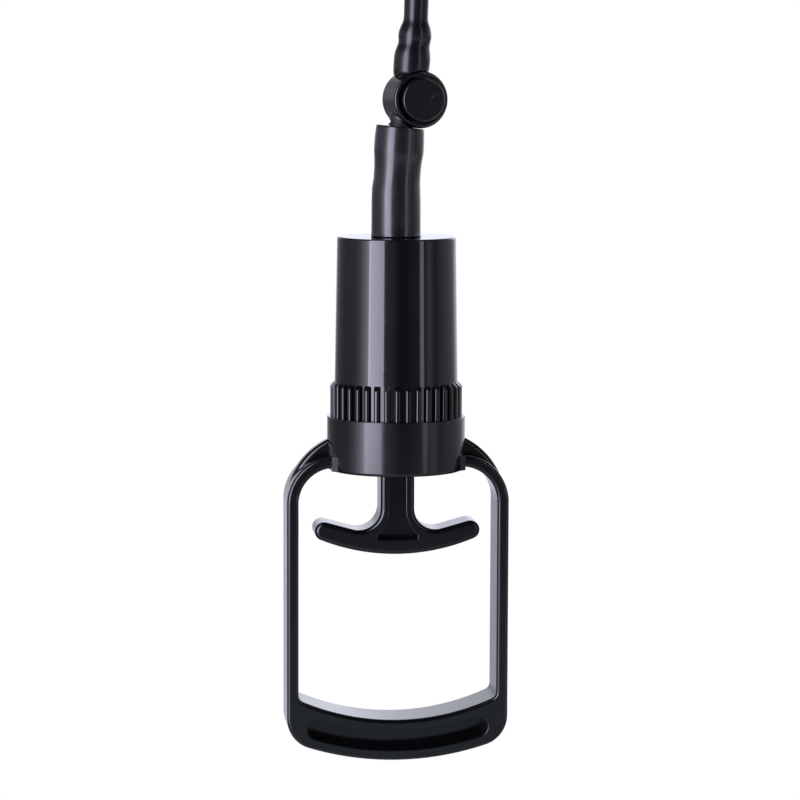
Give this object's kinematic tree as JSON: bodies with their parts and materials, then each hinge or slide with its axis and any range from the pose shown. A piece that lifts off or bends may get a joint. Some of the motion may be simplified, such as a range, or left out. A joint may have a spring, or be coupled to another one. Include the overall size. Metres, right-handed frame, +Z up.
{
  "type": "pull-grip hand pump",
  "caption": "One-hand pull-grip air pump: D-shaped palm frame, T finger pull, short barrel with ribbed screw ring, rubber sleeve, push-button release valve and soft hose.",
  "frame": {"origin": "halfway up the smooth pin of the hose plug, on its axis", "axes": "+Z up along the plug, away from the pump; -Y is the pump's front, which the button faces; +X to the right seen from the front"},
  "size_m": [0.0808, 0.0502, 0.3518],
  "materials": {
    "black_abs": "glossy injection-moulded black",
    "valve_plastic": "satin to glossy black",
    "matt_rubber": "satin black rubber",
    "hose_rubber": "soft glossy black",
    "seal_rubber": "matt black",
    "inner_plastic": "natural white acetal",
    "spring_steel": "bright drawn wire",
    "plug_nylon": "black nylon, fine texture"
  },
  "bodies": {
    "pump": {"barrel": "black_abs", "palm_frame": "black_abs", "rubber_sleeve": "matt_rubber", "valve_body": "valve_plastic", "valve_cap": "valve_plastic", "release_spring": "spring_steel", "inlet_flap": "seal_rubber", "hose": "hose_rubber", "hose_plug": "plug_nylon", "plug_oring": "seal_rubber", "return_spring": "spring_steel"},
    "pull": {"pull_handle": "black_abs", "piston": "inner_plastic", "cup_seal": "seal_rubber", "seal_retainer": "inner_plastic", "exhaust_flap": "seal_rubber", "piston_screw": "spring_steel"},
    "button": {"release_button": "valve_plastic", "poppet_seal": "seal_rubber", "poppet_clip": "spring_steel"}
  },
  "joints": [
    {"name": "handle_pull", "type": "slide", "parent": "pump", "child": "pull", "axis": [0, 0, -1], "range_m": [0, 0.042], "stiffness_N_per_m": 600, "springref_m": -0.02, "deforming": ["return_spring"]},
    {"name": "button_press", "type": "slide", "parent": "pump", "child": "button", "axis": [-0.2453, 0.9694, 0], "range_m": [0, 0.0016], "stiffness_N_per_m": 900, "springref_m": -0.002}
  ]
}
